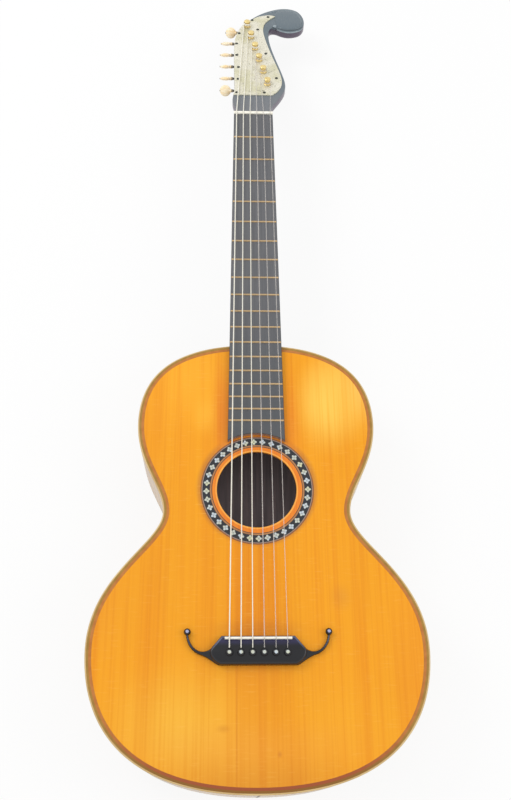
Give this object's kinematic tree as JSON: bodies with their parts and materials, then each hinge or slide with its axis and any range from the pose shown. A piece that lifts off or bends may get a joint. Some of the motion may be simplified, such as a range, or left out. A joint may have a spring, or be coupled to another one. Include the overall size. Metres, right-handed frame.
{
  "type": "romantic guitar",
  "caption": "Small-bodied romantic guitar with gut strings, pearl rosette, curled bridge and a one-sided scroll head with geared tuners.",
  "frame": {"origin": "middle of the overall length and width, on the plane of the flat back", "axes": "+X towards the treble side, +Y towards the head, +Z out of the soundboard; the guitar lies on its back"},
  "size_m": [0.3228, 0.9798, 0.0924],
  "materials": {
    "soundboard_spruce": "aged spruce under amber shellac",
    "rosette_inlay": "black mastic set with pearl",
    "holly": "pale varnished edge strip",
    "dark_band": "brown stained band under shellac",
    "maple": "varnished maple",
    "inner_spruce": "bare planed spruce",
    "black_wood": "black stained wood, polished",
    "ebony": "oiled ebony with brass frets",
    "ivory": "polished bone white",
    "bone": "polished cream bone",
    "nickel": "engraved nickel silver",
    "brass": "turned brass",
    "dark_steel": "darkened steel",
    "wound_string": "silvered wire over silk",
    "gut_string": "clear gut"
  },
  "bodies": {
    "guitar": {"soundboard_bass": "soundboard_spruce", "soundboard_treble": "soundboard_spruce", "rosette": "rosette_inlay", "top_binding": "holly", "top_purfling": "dark_band", "back_binding": "holly", "back": "maple", "ribs_bass": "maple", "ribs_treble": "maple", "top_lining_bass": "inner_spruce", "top_lining_treble": "inner_spruce", "back_lining_bass": "inner_spruce", "back_lining_treble": "inner_spruce", "neck_block": "inner_spruce", "tail_block": "inner_spruce", "top_brace_upper": "inner_spruce", "top_brace_above_hole": "inner_spruce", "top_brace_below_hole": "inner_spruce", "top_brace_lower": "inner_spruce", "back_brace_upper": "inner_spruce", "back_brace_middle": "inner_spruce", "back_brace_lower": "inner_spruce", "bridge_plate": "inner_spruce", "neck": "black_wood", "headstock": "black_wood", "fretboard": "ebony", "nut": "ivory", "saddle": "ivory", "bridge": "black_wood", "bridge_pin_1": "black_wood", "bridge_pin_2": "black_wood", "bridge_pin_3": "black_wood", "bridge_pin_4": "black_wood", "bridge_pin_5": "black_wood", "bridge_pin_6": "black_wood", "string_1": "wound_string", "string_2": "wound_string", "string_3": "wound_string", "string_4": "gut_string", "string_5": "gut_string", "string_6": "gut_string", "tuner_plate": "nickel"},
    "worm_1": {"worm_shaft_1": "dark_steel", "tuner_button_1": "bone"},
    "worm_2": {"worm_shaft_2": "dark_steel", "tuner_button_2": "bone"},
    "worm_3": {"worm_shaft_3": "dark_steel", "tuner_button_3": "bone"},
    "worm_4": {"worm_shaft_4": "dark_steel", "tuner_button_4": "bone"},
    "worm_5": {"worm_shaft_5": "dark_steel", "tuner_button_5": "bone"},
    "worm_6": {"worm_shaft_6": "dark_steel", "tuner_button_6": "bone"},
    "post_1": {"string_post_1": "brass"},
    "post_2": {"string_post_2": "brass"},
    "post_3": {"string_post_3": "brass"},
    "post_4": {"string_post_4": "brass"},
    "post_5": {"string_post_5": "brass"},
    "post_6": {"string_post_6": "brass"}
  },
  "joints": [
    {"name": "worm_1_spin", "type": "hinge", "parent": "guitar", "child": "worm_1", "pos_m": [-0.0058, 0.43893, 0.04316], "axis": [1, 0, 0], "continuous": true},
    {"name": "worm_2_spin", "type": "hinge", "parent": "guitar", "child": "worm_2", "pos_m": [-0.001, 0.41453, 0.04834], "axis": [1, 0, 0], "continuous": true},
    {"name": "worm_3_spin", "type": "hinge", "parent": "guitar", "child": "worm_3", "pos_m": [0.0038, 0.39014, 0.05353], "axis": [1, 0, 0], "continuous": true},
    {"name": "worm_4_spin", "type": "hinge", "parent": "guitar", "child": "worm_4", "pos_m": [0.0086, 0.36574, 0.05871], "axis": [1, 0, 0], "continuous": true},
    {"name": "worm_5_spin", "type": "hinge", "parent": "guitar", "child": "worm_5", "pos_m": [0.0134, 0.34135, 0.0639], "axis": [1, 0, 0], "continuous": true},
    {"name": "worm_6_spin", "type": "hinge", "parent": "guitar", "child": "worm_6", "pos_m": [0.0182, 0.31695, 0.06908], "axis": [1, 0, 0], "continuous": true},
    {"name": "post_1_spin", "type": "hinge", "parent": "guitar", "child": "post_1", "pos_m": [-0.0058, 0.44628, 0.0465], "axis": [0, 0.2079, 0.9781], "continuous": true},
    {"name": "post_2_spin", "type": "hinge", "parent": "guitar", "child": "post_2", "pos_m": [-0.001, 0.42189, 0.05169], "axis": [0, 0.2079, 0.9781], "continuous": true},
    {"name": "post_3_spin", "type": "hinge", "parent": "guitar", "child": "post_3", "pos_m": [0.0038, 0.39749, 0.05687], "axis": [0, 0.2079, 0.9781], "continuous": true},
    {"name": "post_4_spin", "type": "hinge", "parent": "guitar", "child": "post_4", "pos_m": [0.0086, 0.3731, 0.06206], "axis": [0, 0.2079, 0.9781], "continuous": true},
    {"name": "post_5_spin", "type": "hinge", "parent": "guitar", "child": "post_5", "pos_m": [0.0134, 0.3487, 0.06724], "axis": [0, 0.2079, 0.9781], "continuous": true},
    {"name": "post_6_spin", "type": "hinge", "parent": "guitar", "child": "post_6", "pos_m": [0.0182, 0.32431, 0.07243], "axis": [0, 0.2079, 0.9781], "continuous": true}
  ],
  "couplings": [
    {"joint": "post_1_spin", "follows": "worm_1_spin", "ratio": -0.083333},
    {"joint": "post_2_spin", "follows": "worm_2_spin", "ratio": -0.083333},
    {"joint": "post_3_spin", "follows": "worm_3_spin", "ratio": -0.083333},
    {"joint": "post_4_spin", "follows": "worm_4_spin", "ratio": -0.083333},
    {"joint": "post_5_spin", "follows": "worm_5_spin", "ratio": -0.083333},
    {"joint": "post_6_spin", "follows": "worm_6_spin", "ratio": -0.083333}
  ]
}
